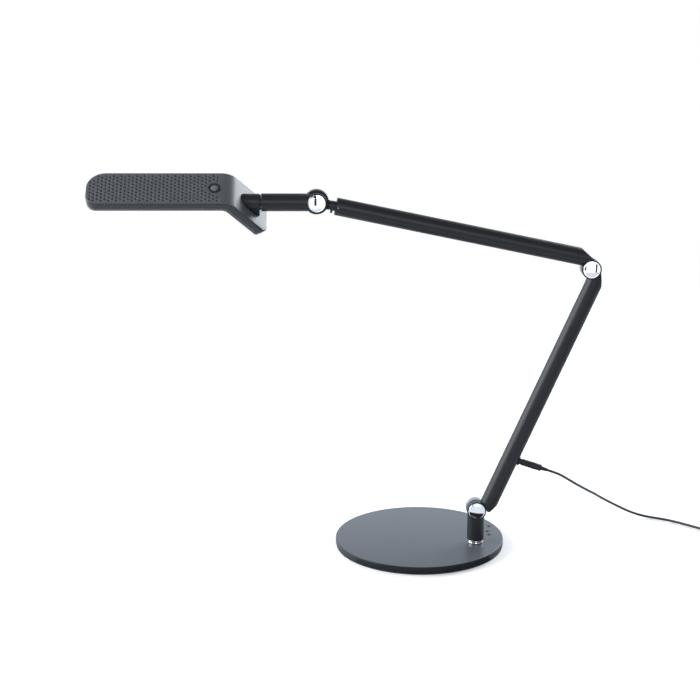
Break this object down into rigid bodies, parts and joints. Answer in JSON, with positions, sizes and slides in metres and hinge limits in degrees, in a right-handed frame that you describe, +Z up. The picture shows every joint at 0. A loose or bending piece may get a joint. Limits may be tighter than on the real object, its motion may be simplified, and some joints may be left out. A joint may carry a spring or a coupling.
{
  "type": "swing arm desk lamp",
  "caption": "Desk lamp with a round weighted base, short post, two folding tubular arms, hinged and swivelling bent LED head, and a plug-in low-voltage lead.",
  "frame": {"origin": "middle of the round base's underside, where it stands on the table", "axes": "+Z up, -X the way the head reaches out at rest, hinge axes along Y with the polished front caps towards -Y"},
  "size_m": [0.7934, 0.2, 0.4542],
  "materials": {
    "base_paint": "satin dark grey paint",
    "arm_paint": "satin black paint",
    "hinge_ear": "satin black paint on the front ears, satin nickel on the rear ones",
    "chrome": "polished chrome",
    "steel": "plain zinc-plated steel",
    "cast_weight": "rough cast iron",
    "rubber": "matt black foam rubber",
    "bronze": "sintered bronze",
    "fibre": "pressed fibre washer",
    "black_plastic": "moulded black plastic",
    "head_paint": "satin dark grey top, glossy black side",
    "grey_plastic": "moulded grey plastic",
    "diffuser": "frosted white acrylic",
    "board": "white circuit board",
    "green_board": "green circuit board",
    "aluminium": "plain aluminium sheet",
    "button": "light grey gloss plastic",
    "wire": "black insulated wire",
    "brass": "bare brass",
    "cord": "satin black cable sheath"
  },
  "bodies": {
    "base": {"base_cover": "base_paint", "base_weight": "cast_weight", "base_plate": "arm_paint", "base_pad": "rubber", "swivel_bush": "bronze", "base_screw_front": "steel", "base_screw_middle": "steel", "base_screw_rear": "steel"},
    "post": {"foot_ring": "chrome", "post_tube": "arm_paint", "swivel_nut": "steel", "base_hinge_bolt": "steel", "base_hinge_nut": "steel", "base_hinge_front_cap": "chrome", "cord_run": "cord", "cord_coil": "cord", "cord_tie": "black_plastic", "cord_tail": "cord", "wall_adapter": "black_plastic", "adapter_prong_left": "brass", "adapter_prong_right": "brass"},
    "lower_arm": {"lower_arm_tube": "arm_paint", "lower_arm_bottom_fitting": "hinge_ear", "lower_arm_top_fitting": "hinge_ear", "base_hinge_washer": "fibre", "base_hinge_rear_cap": "chrome", "power_jack": "black_plastic", "lower_arm_wire": "wire", "elbow_bolt": "steel", "elbow_nut": "steel", "elbow_rear_cap": "chrome", "dc_plug": "black_plastic", "cord_strain_relief": "black_plastic"},
    "upper_arm": {"upper_arm_tube": "arm_paint", "upper_arm_elbow_fitting": "hinge_ear", "elbow_washer": "fibre", "elbow_front_cap": "chrome", "upper_arm_wire": "wire", "upper_arm_end_plug": "black_plastic", "neck_set_screw": "chrome"},
    "neck": {"neck_fitting": "arm_paint", "neck_stop_pin": "arm_paint", "head_hinge_washer": "fibre", "head_hinge_rear_cap": "chrome"},
    "stem": {"stem_tube": "arm_paint", "stem_ear_fitting": "arm_paint", "stem_end_plug": "black_plastic", "head_hinge_bolt": "steel", "head_hinge_nut": "steel", "head_hinge_front_cap": "chrome"},
    "head": {"head_collar": "arm_paint", "head_shell": "head_paint", "head_tray": "grey_plastic", "diffuser": "diffuser", "led_board": "board", "heat_spreader": "aluminium", "dimmer_switch": "green_board", "button_bezel": "grey_plastic"},
    "button": {"dimmer_button": "button"}
  },
  "joints": [
    {"name": "base_swivel", "type": "hinge", "parent": "base", "child": "post", "pos_m": [0.065, -0.0235, 0.0097], "axis": [0, 0, 1], "range_deg": [-160, 160]},
    {"name": "lower_arm_tilt", "type": "hinge", "parent": "post", "child": "lower_arm", "pos_m": [0.065, -0.0235, 0.0515], "axis": [0, 1, 0], "range_deg": [-25, 28], "deforming": ["cord_run"]},
    {"name": "elbow_tilt", "type": "hinge", "parent": "lower_arm", "child": "upper_arm", "pos_m": [0.19161, -0.0235, 0.33993], "axis": [0, 1, 0], "range_deg": [-20, 70]},
    {"name": "neck_roll", "type": "hinge", "parent": "upper_arm", "child": "neck", "pos_m": [-0.11997, -0.0235, 0.41913], "axis": [-0.977, 0, 0.213], "range_deg": [-90, 90]},
    {"name": "head_tilt", "type": "hinge", "parent": "neck", "child": "stem", "pos_m": [-0.11997, -0.0235, 0.41913], "axis": [0, 1, 0], "range_deg": [-22, 75]},
    {"name": "head_roll", "type": "hinge", "parent": "stem", "child": "head", "pos_m": [-0.11997, -0.0235, 0.41913], "axis": [-0.9999, 0, 0.0105], "range_deg": [-51.7, 128.3]},
    {"name": "dimmer_press", "type": "slide", "parent": "head", "child": "button", "axis": [-0.0082, 0.6198, -0.7847], "range_m": [0, 0.0006], "stiffness_N_per_m": 600}
  ]
}
